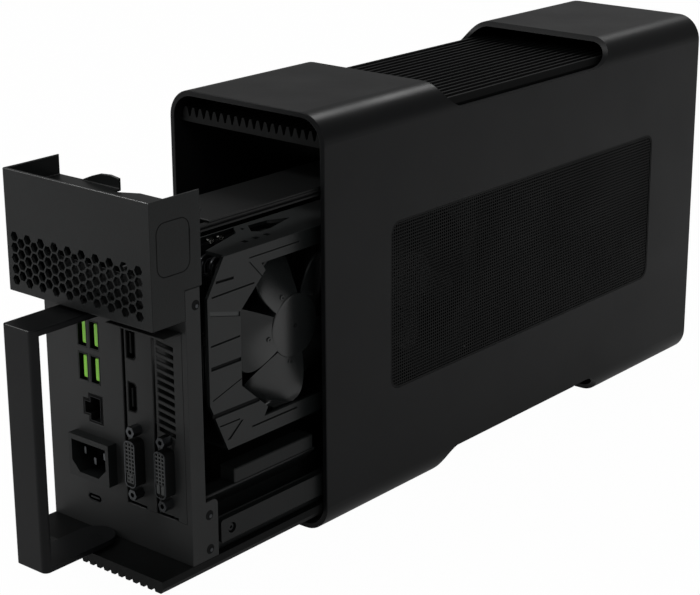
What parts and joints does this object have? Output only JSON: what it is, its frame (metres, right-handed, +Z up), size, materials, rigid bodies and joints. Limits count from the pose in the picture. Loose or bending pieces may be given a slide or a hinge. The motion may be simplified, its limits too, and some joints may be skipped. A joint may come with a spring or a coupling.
{
  "type": "external graphics card enclosure",
  "caption": "Flat desktop enclosure for a graphics card: an outer sleeve with a side mesh, a tray that slides out with the card, connectors, a folding handle and a latch.",
  "frame": {"origin": "middle of the footprint, on the surface the feet stand on, with the tray drawn out as pictured", "axes": "+Z up; +Y along the sleeve from its open mouth to its closed end, so the tray comes out along -Y; +X to the side with the mesh window"},
  "size_m": [0.105, 0.496, 0.221],
  "materials": {
    "black_anodised": "satin black anodised aluminium",
    "black_panel": "satin black powder coat",
    "black_mesh": "satin black perforated steel",
    "black_plastic": "matte black plastic",
    "dark_plastic": "satin dark plastic",
    "gloss_black": "gloss black plastic",
    "foot_rubber": "matte black rubber",
    "board_black": "black solder mask",
    "green_plastic": "green connector plastic",
    "port_steel": "plated steel shell",
    "dark_steel": "black oxide steel",
    "heatsink_metal": "black anodised aluminium fins"
  },
  "bodies": {
    "enclosure": {"sleeve": "black_anodised", "side_mesh_panel": "black_mesh", "top_rib_panel": "black_panel", "front_cover": "black_anodised", "left_guide_rail": "black_plastic", "right_guide_rail": "black_plastic", "rubber_feet": "foot_rubber"},
    "tray": {"base_plate": "black_anodised", "ports_panel": "black_panel", "rear_bezel": "black_panel", "latch_guide": "black_plastic", "handle_pivot_pins": "dark_steel", "left_slide_bar": "black_plastic", "right_slide_bar": "black_plastic", "inner_pan": "black_panel", "chassis_top": "black_panel", "cable_rail": "black_plastic", "end_wall": "black_panel", "left_wall": "black_panel", "power_supply": "dark_plastic", "riser_rails": "black_panel", "riser_board": "board_black", "card_slot": "black_plastic", "side_support": "black_panel", "riser_cover": "black_plastic", "usb_port_lower": "port_steel", "usb_port_upper": "port_steel", "usb_tongues": "green_plastic", "network_jack": "gloss_black", "power_inlet": "black_plastic", "inlet_blades": "dark_steel", "small_port": "port_steel", "small_port_base": "black_plastic", "port_board": "board_black", "card_bracket": "black_panel", "display_port": "port_steel", "hdmi_port": "port_steel", "left_dvi_port": "dark_plastic", "right_dvi_port": "dark_plastic", "jack_screws": "dark_steel", "card_board": "board_black", "cooler_shroud": "dark_plastic", "heatsink": "heatsink_metal", "rear_fan_mount": "black_plastic", "front_fan_mount": "black_plastic", "side_screws": "dark_steel", "bracket_screws": "dark_steel"},
    "handle": {"handle": "black_anodised"},
    "latch_pad": {"latch_pad": "black_plastic"},
    "rear_fan": {"rear_fan_rotor": "gloss_black"},
    "front_fan": {"front_fan_rotor": "gloss_black"}
  },
  "joints": [
    {"name": "tray_slide", "type": "slide", "parent": "enclosure", "child": "tray", "axis": [0, 1, 0], "range_m": [-0.06, 0.113]},
    {"name": "handle_fold", "type": "hinge", "parent": "tray", "child": "handle", "pos_m": [-0.00855, -0.2081, 0.08], "axis": [0, 0, 1], "range_deg": [-90, 0]},
    {"name": "latch_press", "type": "slide", "parent": "tray", "child": "latch_pad", "axis": [-1, 0, 0], "range_m": [0, 0.0012], "stiffness_N_per_m": 900},
    {"name": "rear_fan_spin", "type": "hinge", "parent": "tray", "child": "rear_fan", "pos_m": [0.03, -0.1129, 0.1144], "axis": [1, 0, 0], "continuous": true},
    {"name": "front_fan_spin", "type": "hinge", "parent": "tray", "child": "front_fan", "pos_m": [0.03, -0.0199, 0.1144], "axis": [1, 0, 0], "continuous": true}
  ]
}
